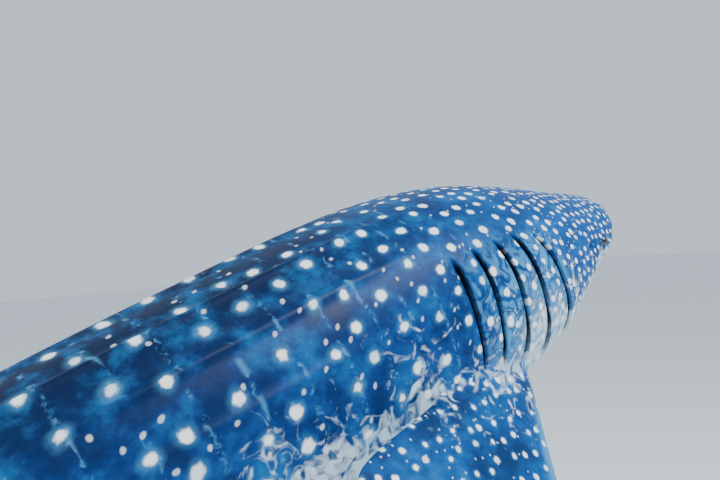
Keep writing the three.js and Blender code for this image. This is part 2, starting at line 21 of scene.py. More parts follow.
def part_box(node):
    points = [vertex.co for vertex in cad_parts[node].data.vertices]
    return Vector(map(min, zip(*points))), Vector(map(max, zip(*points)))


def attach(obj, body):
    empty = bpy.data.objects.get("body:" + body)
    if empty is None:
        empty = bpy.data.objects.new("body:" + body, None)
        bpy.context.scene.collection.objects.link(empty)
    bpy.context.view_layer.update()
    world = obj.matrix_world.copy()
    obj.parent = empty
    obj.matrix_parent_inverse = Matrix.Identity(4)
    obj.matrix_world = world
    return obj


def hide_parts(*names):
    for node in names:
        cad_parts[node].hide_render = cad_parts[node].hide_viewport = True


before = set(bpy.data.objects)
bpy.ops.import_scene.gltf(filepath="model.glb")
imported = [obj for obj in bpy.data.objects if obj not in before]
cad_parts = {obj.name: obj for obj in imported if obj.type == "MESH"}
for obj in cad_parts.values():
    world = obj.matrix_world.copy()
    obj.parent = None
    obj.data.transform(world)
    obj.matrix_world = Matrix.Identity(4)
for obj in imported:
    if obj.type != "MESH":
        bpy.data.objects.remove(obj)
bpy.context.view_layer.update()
LOG = logging.getLogger("whale_shark")
MM = 0.001

Array = np.ndarray
Pair = tuple[float, float]
Piece = bpy.types.Object
Socket = bpy.types.NodeSocket
Tree = bpy.types.NodeTree
SNOUT = Vector((2.110, 0.0, 2.520))
NOSE_UP = math.radians(18)
LENGTH = 6.0


class Side(Enum):
    """The animal's two sides, with the sign that turns the right one into each."""

    RIGHT = 1
    LEFT = -1

    @property
    def word(self) -> str:
        """Name of the side in node names."""
        return self.name.lower()


def smoothstep(low: float, high: float, value: Array) -> Array:
    """Rise from 0 at low to 1 at high, level at both ends."""
    t = np.clip((np.asarray(value, float) - low) / (high - low), 0, 1)
    return t * t * (3 - 2 * t)


def signed_power(value: Array, power: Array) -> Array:
    """Power of a number's size, with its sign kept."""
    return np.sign(value) * np.abs(value) ** power


def to_world(points: Array) -> Array:
    """Turns points of the level swimming body nose up and lifts them onto the stand."""
    c, s = math.cos(NOSE_UP), math.sin(NOSE_UP)
    x, y, z = points[..., 0], points[..., 1], points[..., 2]
    return np.stack([x * c - z * s + SNOUT.x, y + SNOUT.y, x * s + z * c + SNOUT.z], -1)


def bell(value: Array, centre: float, width: float) -> Array:
    """Smooth bump round a centre, 1 high."""
    return np.exp(-((value - centre) / width) ** 2)


def folded(angle: Array) -> Array:
    """Angle taken over to the right side: 90 on the back, 0 on the flank, -90 on the belly."""
    upright = np.where(angle > 90, 180 - angle, angle)
    return np.where(upright < -90, -180 - upright, upright)


@dataclass
class Slit:
    """One gill slit, by its angles and stations at the top, the middle and the bottom."""

    angles: tuple[float, float, float]
    stations: tuple[float, float, float]

    def station(self, angle: Array) -> Array:
        """Station of the slit at an angle, held at its ends beyond them."""
        a, b, c = self.angles
        p, q, r = self.stations
        t = np.clip(angle, c, a)
        return (p * (t - b) * (t - c) / ((a - b) * (a - c))
                + q * (t - a) * (t - c) / ((b - a) * (b - c))
                + r * (t - a) * (t - b) / ((c - a) * (c - b)))

    def openness(self, angle: Array) -> Array:
        """1 along the slit, and 0 past its two ends."""
        top, _, bottom = self.angles
        return smoothstep(bottom - 1, bottom + 6, angle) * (1 - smoothstep(top - 5, top + 1, angle))


@dataclass
class Ridge:
    """A ridge along the body at one angle, with the keel that it may grow into."""

    angle: float
    start: float
    height: float
    keel: float = 0.0


@dataclass
class BodyShape:
    """Sections of the body, as shares of its length, and what is raised or cut on them."""

    profile: Array = field(default_factory=lambda: np.array([
        (0.00, 0.0620, 0.0170, 0.0200), (0.05, 0.0730, 0.0355, 0.0405),
        (0.10, 0.0850, 0.0565, 0.0630), (0.14, 0.0910, 0.0700, 0.0750),
        (0.18, 0.0930, 0.0770, 0.0805), (0.22, 0.0905, 0.0800, 0.0820),
        (0.27, 0.0845, 0.0805, 0.0795), (0.33, 0.0780, 0.0790, 0.0745),
        (0.40, 0.0705, 0.0765, 0.0690), (0.47, 0.0610, 0.0725, 0.0610),
        (0.54, 0.0500, 0.0650, 0.0510), (0.62, 0.0385, 0.0525, 0.0385),
        (0.70, 0.0275, 0.0390, 0.0270), (0.76, 0.0205, 0.0290, 0.0200),
        (0.80, 0.0170, 0.0240, 0.0165), (0.82, 0.0100, 0.0175, 0.0105),
        (0.84, 0.0040, 0.0090, 0.0050)]))
    back_power: float = 2.3
    belly_power: float = 2.4
    nose_plan: float = 0.05
    nose_side: float = 0.03
    nose_power: float = 2.4
    bend_start: float = 0.42
    bend: float = -0.24
    ridge_spread: float = 2.2
    ridge_rise: float = 0.08
    keel_span: Pair = (0.62, 0.78)
    keel_end: Pair = (0.79, 0.83)
    ridges: tuple[Ridge, ...] = (Ridge(90, 0.20, 0.014), Ridge(62, 0.19, 0.013),
                                 Ridge(38, 0.21, 0.013), Ridge(12, 0.26, 0.011, 0.030))
    slits: tuple[Slit, ...] = (
        Slit((22, -8, -40), (0.1430, 0.1290, 0.1265)),
        Slit((26, -4, -36), (0.1610, 0.1545, 0.1600)),
        Slit((27, 0, -28), (0.1780, 0.1755, 0.1850)),
        Slit((28, 3, -23), (0.1970, 0.1975, 0.2050)),
        Slit((27, 5, -17), (0.2145, 0.2160, 0.2190)))
    slit_width: float = 0.0085
    slit_depth: float = 0.030
    flap_lift: float = 0.010
    flap_run: float = 0.035
    flap_bulge: float = 0.004
    bulge_ahead: float = 0.055
    dip: float = 0.006
    dip_run: float = 0.028
    mouth_front: float = -0.0020
    mouth_corner: float = 0.052
    mouth_drop: float = -0.0125
    mouth_bow: float = 0.76
    lip_width: float = 0.0065
    lip_depth: float = 0.022
    lip_height: float = 0.007
    lip_off: float = 0.026
    lip_run: float = 0.016
    eye_station: float = 0.057
    eye_angle: float = -6.0
    eye_radius: float = 0.025
    eye_sunk: float = 0.010
    rim_height: float = 0.007
    socket_depth: float = 0.020
    spiracle: Pair = (0.079, -1.0)
    spiracle_size: tuple[float, float, float] = (0.030, 0.012, 0.014)
    nostril: Pair = (0.0052, -1.5)
    nostril_size: tuple[float, float, float] = (0.030, 0.020, 0.024)
    nostril_up: float = 0.034
    nostril_hole: Pair = (0.036, 0.012)

    def read(self, station: Array, column: int) -> Array:
        """Smooth curve through one column of the profile."""
        x, y = self.profile[:, 0], self.profile[:, column]
        slope = np.empty_like(y)
        slope[1:-1] = (y[2:] - y[:-2]) / (x[2:] - x[:-2])
        slope[0], slope[-1] = (y[1] - y[0]) / (x[1] - x[0]), (y[-1] - y[-2]) / (x[-1] - x[-2])
        row = np.clip(np.searchsorted(x, station) - 1, 0, len(x) - 2)
        span = x[row + 1] - x[row]
        t = (station - x[row]) / span
        rest = 1 - t
        return ((1 + 2 * t) * rest ** 2 * y[row] + t * rest ** 2 * span * slope[row]
                + t * t * (3 - 2 * t) * y[row + 1] - t * t * rest * span * slope[row + 1])

    def nose_share(self, station: Array, reach: float) -> Array:
        """Share of the full section that the rounded snout has reached."""
        t = np.clip(station / reach, 0, 1)
        return (1 - (1 - t) ** self.nose_power) ** (1 / self.nose_power)

    def ridge_height(self, station: Array, angle: Array) -> Array:
        """Height of the ridges and keels over the plain section."""
        upright = folded(angle)
        height = np.zeros(np.broadcast(station, angle).shape)
        keel = smoothstep(*self.keel_span, station)
        for ridge in self.ridges:
            rise = smoothstep(ridge.start, ridge.start + self.ridge_rise, station)
            bump = bell(upright, ridge.angle, self.ridge_spread)
            height = height + (ridge.height * rise + ridge.keel * keel) * bump
        return height * (1 - smoothstep(*self.keel_end, station))

    def point(self, station: Array, angle: Array, out: Array = 0.0) -> Array:
        """Points of the straight body.

        Args:
            station: Share of the length behind the snout.
            angle: Degrees round the section, 0 on the right flank and 90 on the back.
            out: Metres to move along the section's normal.

        Returns:
            An array whose last axis holds x, y and z in metres from the snout.
        """
        station, angle = np.broadcast_arrays(np.asarray(station, float), np.asarray(angle, float))
        across, upward = np.cos(np.radians(angle)), np.sin(np.radians(angle))
        above = upward >= 0
        power = np.where(above, self.back_power, self.belly_power)
        width = LENGTH * self.read(station, 1) * self.nose_share(station, self.nose_plan)
        tall = np.where(above, self.read(station, 2), self.read(station, 3))
        tall = LENGTH * tall * self.nose_share(station, self.nose_side)
        side, rise = signed_power(across, 2 / power), signed_power(upward, 2 / power)
        normal_y = signed_power(side, power - 1) / np.maximum(width, MM)
        normal_z = signed_power(rise, power - 1) / np.maximum(tall, MM)
        size = np.hypot(normal_y, normal_z)
        push = out + self.ridge_height(station, angle)
        return np.stack([-station * LENGTH, -(width * side + push * normal_y / size),
                         tall * rise + push * normal_z / size], -1)

    def bent(self, points: Array) -> Array:
        """Swings the rear of the straight body to its right."""
        along = np.maximum(0, -points[..., 0] / LENGTH - self.bend_start)
        slope = 2 * self.bend * along
        turn = np.hypot(1, slope)
        return np.stack([points[..., 0] + points[..., 1] * slope / turn,
                         self.bend * along ** 2 * LENGTH + points[..., 1] / turn,
                         points[..., 2]], -1)

    def place(self, station: float, angle: float, out: float, side: Side) -> Array:
        """World place of one point of the posed body, on either side."""
        point = self.point(station, angle, out)
        point[..., 1] *= side.value
        return to_world(self.bent(point))

    def mouth_height(self, station: Array) -> Array:
        """Height of the line between the lips over the body's axis."""
        t = np.clip(station / self.mouth_corner, 0, 1)
        drop = self.mouth_bow * t + (1 - self.mouth_bow) * t * t
        return LENGTH * (self.mouth_front + (self.mouth_drop - self.mouth_front) * drop)

    def gills(self, station: Array, upright: Array) -> tuple[Array, Array]:
        """Slits with the flap ahead lifted, the skin behind sunk a little, and shade painted in
        each.
        """
        out, shade = np.zeros(station.shape), np.zeros(station.shape)
        gape = self.slit_width / 2 * (0.75 + 0.5 * smoothstep(-20, 24, upright))
        for slit in self.slits:
            d = (station - slit.station(upright)) * LENGTH
            hollow = 1 - smoothstep(gape * 0.7, gape * 1.35, np.abs(d))
            lift = np.exp(-np.maximum(-d - gape, 0) / self.flap_run) * (d < 0)
            behind = np.exp(-np.maximum(d - gape, 0) / self.dip_run) * (d > 0)
            bulge = bell(d, -self.bulge_ahead, self.flap_run)
            dark = 1 - smoothstep(gape * 0.9, gape * 1.9, np.abs(d))
            out += slit.openness(upright) * (
                self.flap_lift * lift + self.flap_bulge * bulge - self.dip * behind
                - hollow * (self.slit_depth + self.flap_lift))
            shade = np.maximum(shade, slit.openness(upright) * dark)
        return out, shade

    def lips(self, up: Array) -> tuple[Array, Array]:
        """Swelling of both lips and the groove between them, from 0 to 1."""
        return bell(np.abs(up), self.lip_off, self.lip_run), bell(up, 0, self.lip_width)

    def mouth(self, station: Array, up: Array) -> tuple[Array, Array]:
        """Lips along the side of the head, as far as the mouth's corner, with shade painted between
        them.
        """
        inside = 1 - smoothstep(self.mouth_corner - 0.004, self.mouth_corner + 0.001, station)
        swell, groove = self.lips(up)
        dark = bell(up, 0, self.lip_width * 1.1)
        return inside * (self.lip_height * swell - self.lip_depth * groove), inside * dark

    def head_holes(self, place: Array, upright: Array) -> tuple[Array, Array]:
        """Eye sockets with their raised rims, and the hole behind each eye with shade painted in
        it.
        """
        flank = np.abs(upright) < 60
        level = self.point(self.eye_station, self.eye_angle)
        ahead = np.hypot(place[..., 0] - level[0], place[..., 2] - level[2])
        rim = bell(ahead, self.eye_radius * 1.25, 0.008)
        socket = 1 - smoothstep(self.eye_radius * 0.8, self.eye_radius * 1.1, ahead)
        hole = self.point(*self.spiracle)
        long, tall, deep = self.spiracle_size
        off = ((place[..., 0] - hole[0]) / long) ** 2 + ((place[..., 2] - hole[2]) / tall) ** 2
        pit = np.exp(-off ** 1.5)
        return (flank * (self.rim_height * rim - self.socket_depth * socket - deep * pit),
                flank * 0.9 * pit)

    def snout(self, station: Array, place: Array, up: Array) -> tuple[Array, Array]:
        """Nostrils with their flaps, and the lips, on the blunt front of the snout.

        Returns:
            Metres to move the skin forwards, and the shade of the nostrils, from 0 to 1.
        """
        front = 1 - smoothstep(0.012, 0.030, station)
        aside = np.abs(place[..., 1]) + self.point(*self.nostril)[1]
        wide, tall, high = self.nostril_size
        beside, deep = self.nostril_hole
        flap = bell(aside, 0, wide) * bell(up, self.nostril_up, tall)
        hole = bell(aside, beside, 0.010) * bell(up, self.nostril_up - 0.002, tall)
        swell, groove = self.lips(up)
        return front * (high * flap - deep * hole + 0.010 * swell - 0.016 * groove), front * hole

    def relief(self, station: Array, angle: Array) -> tuple[Array, Array, Array]:
        """Fine forms of the skin: gill slits, lips, eye rims, spiracles and nostrils.

        Returns:
            Metres to move the skin outwards, the shade painted in slits, the mouth line, spiracles
            and nostrils, from 0 to 1, and metres to move it forwards on the blunt front of the
            snout.
        """
        upright = folded(angle)
        place = self.point(station, angle)
        up = place[..., 2] - self.mouth_height(station)
        outs, shades = zip(self.gills(station, upright), self.mouth(station, up),
                           self.head_holes(place, upright))
        push, hole = self.snout(station, place, up)
        return np.sum(outs, axis=0), np.max([*shades, hole], axis=0), push


@dataclass
class FinShape:
    """A fin by its outline in millimetres of chord and span, from its root to its tip."""

    name: str
    lead: list[Pair]
    trail: list[Pair]
    thick: Pair
    edge: float
    front: Pair
    rear: Pair
    droop: float = 0.0
    cup: float = 0.0
    flare: float = 46.0
    flare_start: float = 0.16
    flare_fade: float = 0.055
    thinning: float = 1.8
    fullest: float = 0.62
    rounding: float = 0.8
    rim: float = 0.02

    @staticmethod
    def outline(points: list[Pair], t: Array) -> Array:
        """Catmull-Rom curve through the points, read from 0 at the root to 1 at the tip."""
        p = np.array(points, float)
        last = len(p) - 1
        place = np.clip(t, 0, 1) * last
        i = np.minimum(place.astype(int), last - 1)
        w = (place - i)[..., None]
        before, start, end = p[np.maximum(i - 1, 0)], p[i], p[i + 1]
        after = p[np.minimum(i + 2, last)]
        v0, v1 = (end - before) / 2, (after - start) / 2
        return ((2 * start - 2 * end + v0 + v1) * w ** 3
                + (-3 * start + 3 * end - 2 * v0 - v1) * w ** 2 + v0 * w + start)

    def basis(self, body: BodyShape) -> tuple[Array, Array, Array]:
        """Root, chord direction and span direction on the straight body."""
        origin = body.point(*self.front)
        chord = body.point(*self.rear) - origin
        chord = chord / np.linalg.norm(chord)
        if self.droop:
            droop = math.radians(self.droop)
            span = np.array([0, -math.cos(droop), -math.sin(droop)])
        else:
            span = np.array([0, 0, math.copysign(1.0, self.front[1])])
        span = span - chord * span.dot(chord)
        return origin, chord, span / np.linalg.norm(span)

    def points(self, body: BodyShape, t: Array, turn: Array,
               side: Side) -> tuple[Array, Array]:
        """Points of the fin and where they lie on its chord and span.

        Args:
            body: Shape of the body that carries the fin.
            t: Place from the root at 0 to the tip at 1.
            turn: Angle round the section, 0 at the leading and pi at the trailing edge.
            side: Side of the body for one of a pair.

        Returns:
            World points, and an array of chord share, chord and span in metres.
        """
        u = (1 - np.cos(turn)) / 2
        lead, trail = self.outline(self.lead, t), self.outline(self.trail, t)
        flat = lead + (trail - lead) * u[..., None]
        full = self.thick[1] + (self.thick[0] - self.thick[1]) * (1 - t) ** self.thinning
        full = full + self.flare * np.exp(-np.maximum(t - self.flare_start, 0) / self.flare_fade)
        near = np.minimum(np.minimum(u, 1 - u) / self.rim, 1)
        belly = np.sin(np.pi * np.clip(u, 0, 1) ** self.fullest) ** self.rounding
        half = (self.edge + (full - self.edge) * np.nan_to_num(belly)) / 2
        half = half * np.sqrt(1 - (1 - near) ** 2)
        origin, chord, span = self.basis(body)
        normal = np.cross(chord, span)
        off = np.sign(np.sin(turn)) * half + self.cup * t * t
        point = (origin + flat[..., :1] * MM * chord + flat[..., 1:] * MM * span
                 + off[..., None] * MM * normal)
        point[..., 1] *= side.value
        return to_world(body.bent(point)), np.stack([u, flat[..., 0] * MM, flat[..., 1] * MM], -1)


FINS = (
    FinShape(
        "pectoral", [(-30, -200), (0, 0), (140, 300), (320, 640), (560, 960), (790, 1150)],
        [(420, -200), (500, 10), (1010, 205), (880, 420), (840, 760), (815, 1140)],
        (120, 16), 7, (0.177, -37), (0.253, -14), 57, 40),
    FinShape(
        "pelvic", [(-30, -90), (0, 0), (95, 110), (190, 220), (280, 290), (320, 300)],
        [(255, -90), (282, 5), (400, 62), (345, 170), (335, 250), (330, 292)],
        (64, 10), 5, (0.545, -52), (0.592, -52), 48, 10, 26),
    FinShape(
        "dorsal_first", [(-60, -110), (0, 0), (170, 190), (330, 380), (470, 505), (540, 522)],
        [(480, -110), (540, 10), (640, 60), (575, 210), (572, 400), (560, 512)],
        (92, 14), 6, (0.478, 90), (0.568, 90)),
    FinShape(
        "dorsal_second", [(-30, -70), (0, 0), (80, 90), (170, 180), (235, 218), (262, 222)],
        [(240, -70), (276, 5), (345, 32), (295, 105), (280, 180), (272, 216)],
        (56, 10), 5, (0.672, 90), (0.718, 90), flare=26),
    FinShape(
        "anal", [(-30, -60), (0, 0), (85, 85), (175, 172), (235, 208), (260, 212)],
        [(215, -60), (252, 5), (325, 30), (285, 100), (274, 172), (268, 206)],
        (52, 10), 5, (0.692, -90), (0.734, -90), flare=24),
)


@dataclass
class TailLobe(FinShape):
    """A lobe of the tail fin, laid out behind and above the end of the stalk."""

    def basis(self, body: BodyShape) -> tuple[Array, Array, Array]:
        """End of the stalk, straight back, and straight up."""
        origin = np.array([-self.front[0] * LENGTH, 0, 0])
        return origin, np.array([-1.0, 0, 0]), np.array([0, 0, 1.0])


TAIL_LOBES = (
    TailLobe(
        "tail_upper", [(-330, 20), (-60, 120), (190, 330), (560, 730), (930, 1150), (1255, 1425)],
        [(60, -60), (380, 30), (680, 330), (950, 740), (1150, 1120), (1275, 1415)],
        (130, 16), 7, (0.79, 0), (0.79, 0), flare=0),
    TailLobe(
        "tail_lower", [(-300, -10), (-60, -90), (150, -240), (370, -480), (560, -680), (668, -752)],
        [(60, 90), (330, 45), (470, -120), (560, -380), (640, -620), (674, -742)],
        (110, 16), 7, (0.79, 0), (0.79, 0), flare=0),
)


# Metres between the spots of a fin, the stations that the coat takes fins for, and the tones
# of their faces, on the scale from 1 on the back to -1 on the belly
FIN_CELLS = {"pectoral": 0.072, "tail_upper": 0.130, "tail_lower": 0.120, "other": 0.100}
PECTORAL_STATION = 0.30
REAR_FIN_STATION = 0.42
TONES = {"fin": 0.35, "underside": -0.8, "belly": -1.0}


def clear_selection() -> None:
    """Deselects everything, as the frame's nodes stay selected after loading."""
    bpy.ops.object.select_all(action="DESELECT")


def read_all(items: Sequence, name: str, kind: type = int, width: int = 1) -> Array:
    """One property of all the items of a mesh."""
    values = np.empty(len(items) * width, kind)
    items.foreach_get(name, values)
    return values


def placed_ball(name: str, segments: int, rings: int,
                formula: Callable[[Array, Array], Array]) -> Piece:
    """Adds a ball and puts each vertex where the formula says.

    Args:
        name: Name of the piece.
        segments: Vertices round each ring.
        rings: Steps from one pole to the other.
        formula: World points from ring numbers, 0 to rings, and segment numbers.

    Returns:
        The piece, with its place in its mesh and its normals outwards.
    """
    clear_selection()
    bpy.ops.mesh.primitive_uv_sphere_add(segments=segments, ring_count=rings, radius=1)
    piece = bpy.context.object
    piece.name = piece.data.name = name
    co = read_all(piece.data.vertices, "co", float, 3).reshape(-1, 3)
    ring = np.rint(np.arccos(np.clip(co[:, 2], -1, 1)) * rings / math.pi).astype(int)
    segment = np.rint(np.arctan2(co[:, 1], co[:, 0]) * segments / math.tau).astype(int) % segments
    piece.data.vertices.foreach_set("co", formula(ring, segment).ravel())
    bpy.ops.object.mode_set(mode="EDIT")
    bpy.ops.mesh.select_all(action="SELECT")
    bpy.ops.mesh.normals_make_consistent(inside=False)
    bpy.ops.object.mode_set(mode="OBJECT")
    return piece


@dataclass
class SharkSkin:
    """The one skin over head, trunk, gills, tail and fins."""

    body: BodyShape
    segments: int = 208
    nose_rings: int = 44
    nose_power: float = 2.4
    nose_end: float = 0.03
    head_step: float = 0.0016
    gill_span: Pair = (0.118, 0.232)
    trunk_span: Pair = (0.235, 0.80)
    trunk_step: float = 0.0045
    tail_end: float = 0.835
    slit_reach: float = 0.0022
    warp_span: Pair = (0.100, 0.250)
    warp_low: Pair = (-78, -46)
    warp_high: Pair = (34, 66)
    seam_rings: int = 4
    seam_passes: int = 14
    coats: list[tuple[Array, ...]] = field(default_factory=list)

    def stations(self) -> Array:
        """Rows of the body's mesh: close on the snout and along each gill slit."""
        nose = self.nose_end * (np.arange(self.nose_rings) / self.nose_rings) ** self.nose_power
        first, final = self.gill_span
        head = np.arange(self.nose_end, first, self.head_step)
        knots = [first] + [slit.stations[1] for slit in self.body.slits] + [final]
        reach = self.slit_reach
        gills: list[float] = []
        for start, end in zip(knots[:-1], knots[1:]):
            low, high = start + reach * (start > first), end - reach * (end < final)
            gills += list(np.linspace(low, high, 9))
            if end < final:
                gills += list(np.linspace(end - reach, end + reach, 12)[1:-1])
        trunk = np.arange(*self.trunk_span, self.trunk_step)
        tail = np.linspace(self.trunk_span[1], self.tail_end, 10)
        return np.concatenate([nose, head, gills, trunk, tail])

    def warped(self, station: Array, angle: Array) -> Array:
        """Shifts the rows near the gills so that they run along the slits."""
        upright = folded(angle)
        ease = smoothstep(*self.warp_low, upright) * (1 - smoothstep(*self.warp_high, upright))
        middles = [slit.stations[1] for slit in self.body.slits]
        knots = np.array([self.warp_span[0], *middles, self.warp_span[1]])
        shift = np.stack([np.zeros_like(upright)]
                         + [(slit.station(upright) - slit.stations[1]) * ease
                            for slit in self.body.slits] + [np.zeros_like(upright)], -1)
        i = np.clip(np.searchsorted(knots, station) - 1, 0, len(knots) - 2)
        w = np.clip((station - knots[i]) / (knots[i + 1] - knots[i]), 0, 1)
        rows = np.arange(len(i))
        return station + shift[rows, i] * (1 - w) + shift[rows, i + 1] * w

    def cell_size(self, station: Array) -> Array:
        """Metres between spots: fine on the head, wide on the trunk, without sudden steps."""
        places = [0.0, 0.06, 0.12, 0.18, 0.25, 0.34, 0.50, 0.70, 0.88]
        sizes = [0.036, 0.042, 0.056, 0.086, 0.125, 0.165, 0.182, 0.140, 0.100]
        near = [np.interp(station + step, places, sizes) for step in np.linspace(-0.03, 0.03, 9)]
        return np.mean(near, axis=0)

    def build_body(self) -> Piece:
        """Body from snout to the end of its core in the tail fin."""
        rows = self.stations()
        rings = len(rows)
        end = self.body.profile[-1, 0]
        arcs = np.linspace(90, -90, 400)
        along = np.linspace(0, 0.9, 600)
        step = 0.002
        run = np.concatenate([[0], np.cumsum(np.diff(along) * LENGTH
                                             / self.cell_size((along[1:] + along[:-1]) / 2))])
        lengths = {}

        def formula(ring: Array, segment: Array) -> Array:
            """World place of each vertex, noting its coat coordinates."""
            angle = 90 - 360 * segment / self.segments
            angle = np.where(angle <= -180, angle + 360, angle)
            row = rows[np.minimum(ring, rings - 1)]
            station = np.clip(self.warped(row, angle), 0, end)
            out, shade, push = self.body.relief(station, angle)
            none = np.zeros(len(angle))
            pole = (ring == 0) | (ring == rings)
            straight = self.body.point(station, angle, np.where(pole, 0, out))
            middle = ring == rings
            straight[middle, 1], straight[middle, 2] = 0, 0
            straight[middle, 0] -= 0.01
            straight[:, 0] += push
            place = to_world(self.body.bent(straight))
            upright = folded(angle)
            arc = np.empty(len(angle))
            for key in np.unique(np.round(row, 4)):
                pick = np.round(row, 4) == key
                if key not in lengths:
                    curve = self.body.point(np.full(len(arcs), key), arcs)
                    steps = np.linalg.norm(np.diff(curve, axis=0), axis=1)
                    lengths[key] = np.concatenate([[0], np.cumsum(steps)])
                arc[pick] = np.interp(-upright[pick], -arcs, lengths[key])
            side = np.where((angle > 90) | (angle < -90), -1.0, 1.0)
            cell = np.stack([np.interp(station, along, run),
                             side * arc / self.cell_size(station), station], -1)
            tone = np.stack([upright / 90, shade, none], -1)
            growth = (self.cell_size(station + step) - self.cell_size(station - step)) / (
                2 * step * LENGTH)
            lean = np.stack([cell[:, 1] * growth, none, none], -1)
            self.coats.append((place, cell, tone, lean))
            return place

        return placed_ball("skin_whale_shark", self.segments, rings, formula)

    def build_fin(self, fin: FinShape, side: Side, segments: int, rings: int) -> Piece:
        """One fin, with its root sunk in the body."""
        scale = FIN_CELLS.get(fin.name, FIN_CELLS["other"])
        shift = 40 + hash_number(fin.name) % 97 + 13 * (side is Side.LEFT)
        station = PECTORAL_STATION if fin.name == "pectoral" else REAR_FIN_STATION
        upper = TONES["belly" if fin.name == "anal" else "fin"]

        def formula(ring: Array, segment: Array) -> Array:
            """World place of each vertex, noting its coat coordinates."""
            t = (ring / rings) ** 0.85
            turn = math.tau * segment / segments
            place, flat = fin.points(self.body, t, turn, side)
            root = ring == 0
            if root.any():
                first, _ = fin.points(self.body, np.zeros(2), np.array([0, math.pi]), side)
                place[root] = first.mean(axis=0)
            cell = np.stack([flat[:, 1] / scale + shift, flat[:, 2] / scale + shift,
                             np.full(len(t), station)], -1)
            under = (np.sin(turn) < 0) if fin.droop else np.zeros(len(t), bool)
            tone = np.stack([np.where(under, TONES["underside"], upper), np.zeros(len(t)),
                             1 + flat[:, 0]], -1)
            lean = np.stack([np.zeros(len(t)), t, np.ones(len(t))], -1)
            self.coats.append((place, cell, tone, lean))
            return place

        return placed_ball(f"{fin.name}_{side.word}", segments, rings, formula)

    def unite(self, body: Piece, fins: list[Piece]) -> None:
        """Joins the fins to the body, marking each one's faces by a material slot."""
        for number, piece in enumerate([body, *fins]):
            for _ in range(2):
                piece.data.materials.append(None)
            piece.data.polygons.foreach_set(
                "material_index", np.full(len(piece.data.polygons), int(number > 0)))
        for fin in fins:
            cut = body.modifiers.new("union", "BOOLEAN")
            cut.operation, cut.object, cut.solver = "UNION", fin, "MANIFOLD"
            clear_selection()
            body.select_set(True)
            bpy.context.view_layer.objects.active = body
            bpy.ops.object.modifier_apply(modifier=cut.name)
            bpy.data.objects.remove(fin)
        LOG.info("united %d fins, %d faces", len(fins), len(body.data.polygons))

    def smooth_seams(self, body: Piece) -> None:
        """Softens the skin along each fin's root into a smooth fillet."""
        mesh = bmesh.new()
        mesh.from_mesh(body.data)
        bmesh.ops.remove_doubles(mesh, verts=mesh.verts, dist=0.0004)
        zone = {v for v in mesh.verts if len({f.material_index for f in v.link_faces}) > 1}
        for step in range(self.seam_rings):
            for _ in range(self.seam_passes // self.seam_rings + 1):
                bmesh.ops.smooth_vert(mesh, verts=list(zone), factor=0.5, use_axis_x=True,
                                      use_axis_y=True, use_axis_z=True)
            zone |= {edge.other_vert(v) for v in list(zone) for edge in v.link_edges}
        mesh.to_mesh(body.data)
        mesh.free()

    def dress(self, body: Piece) -> None:
        """Writes the coat coordinates onto the united mesh, face by face."""
        mesh = body.data
        co = read_all(mesh.vertices, "co", float, 3).reshape(-1, 3)
        corners = read_all(mesh.loops, "vertex_index")
        kinds = read_all(mesh.polygons, "material_index")
        corner_kind = np.repeat(kinds, read_all(mesh.polygons, "loop_total"))
        layers = {name: np.zeros((len(corners), 3)) for name in ("cell", "tone", "lean")}
        for kind, coats in ((0, self.coats[:1]), (1, self.coats[1:])):
            places, *values = (np.concatenate(parts) for parts in zip(*coats))
            tree = KDTree(len(places))
            for i, place in enumerate(places):
                tree.insert(place, i)
            tree.balance()
            mine = corner_kind == kind
            used = np.unique(corners[mine])
            nearest = np.zeros(len(co), int)
            for vertex in used:
                nearest[vertex] = tree.find(co[vertex])[1]
            for layer, value in zip(layers.values(), values):
                layer[mine] = value[nearest[corners[mine]]]
        for name, value in layers.items():
            layer = mesh.attributes.new(name, "FLOAT_VECTOR", "CORNER")
            layer.data.foreach_set("vector", value.ravel())
        mesh.polygons.foreach_set("material_index", np.zeros(len(kinds), int))
        mesh.materials.clear()

    def build(self) -> Piece:
        """Builds the whole skin as one closed piece."""
        body = self.build_body()
        fins = []
        for fin in FINS:
            sides = Side if fin.droop else (Side.RIGHT,)
            segments, rings = (48, 80) if fin.name in ("pectoral", "dorsal_first") else (36, 44)
            fins += [self.build_fin(fin, side, segments, rings) for side in sides]
        fins += [self.build_fin(lobe, Side.RIGHT, 48, 76) for lobe in TAIL_LOBES]
        self.unite(body, fins)
        self.smooth_seams(body)
        self.dress(body)
        body.data.shade_smooth()
        return body


def hash_number(word: str) -> int:
    """A steady number from a word, to set each fin's spots apart."""
    return sum((i + 3) * ord(letter) for i, letter in enumerate(word))


# Finishes

def linear(colour: str) -> tuple[float, float, float, float]:
    """Linear colour of an sRGB hex value."""
    parts = [int(colour[i:i + 2], 16) / 255 for i in (1, 3, 5)]
    return (*[p / 12.92 if p <= 0.04045 else ((p + 0.055) / 1.055) ** 2.4 for p in parts], 1.0)


def wire(tree: Tree, node: bpy.types.Node, inputs: dict) -> None:
    """Gives inputs of a node, by name or number, a value, a link, or a node's first output."""
    for name, value in inputs.items():
        if isinstance(value, bpy.types.Node):
            value = value.outputs[0]
        if isinstance(value, Socket):
            tree.links.new(value, node.inputs[name])
        else:
            node.inputs[name].default_value = value


def add(tree: Tree, kind: str, inputs: dict, **settings) -> bpy.types.Node:
    """Adds a shader node, named by what follows "ShaderNode", with its settings and links."""
    made = tree.nodes.new("ShaderNode" + kind)
    for name, value in settings.items():
        setattr(made, name, value)
    wire(tree, made, inputs)
    return made


def new_material(name: str) -> tuple[bpy.types.Material, Tree, bpy.types.Node, Socket]:
    """A material with its node tree, its Principled shader and the place on the object."""
    material = bpy.data.materials.new(name)
    material.use_nodes = True
    tree = material.node_tree
    place = add(tree, "TexCoord", {}).outputs["Object"]
    return material, tree, tree.nodes["Principled BSDF"], place


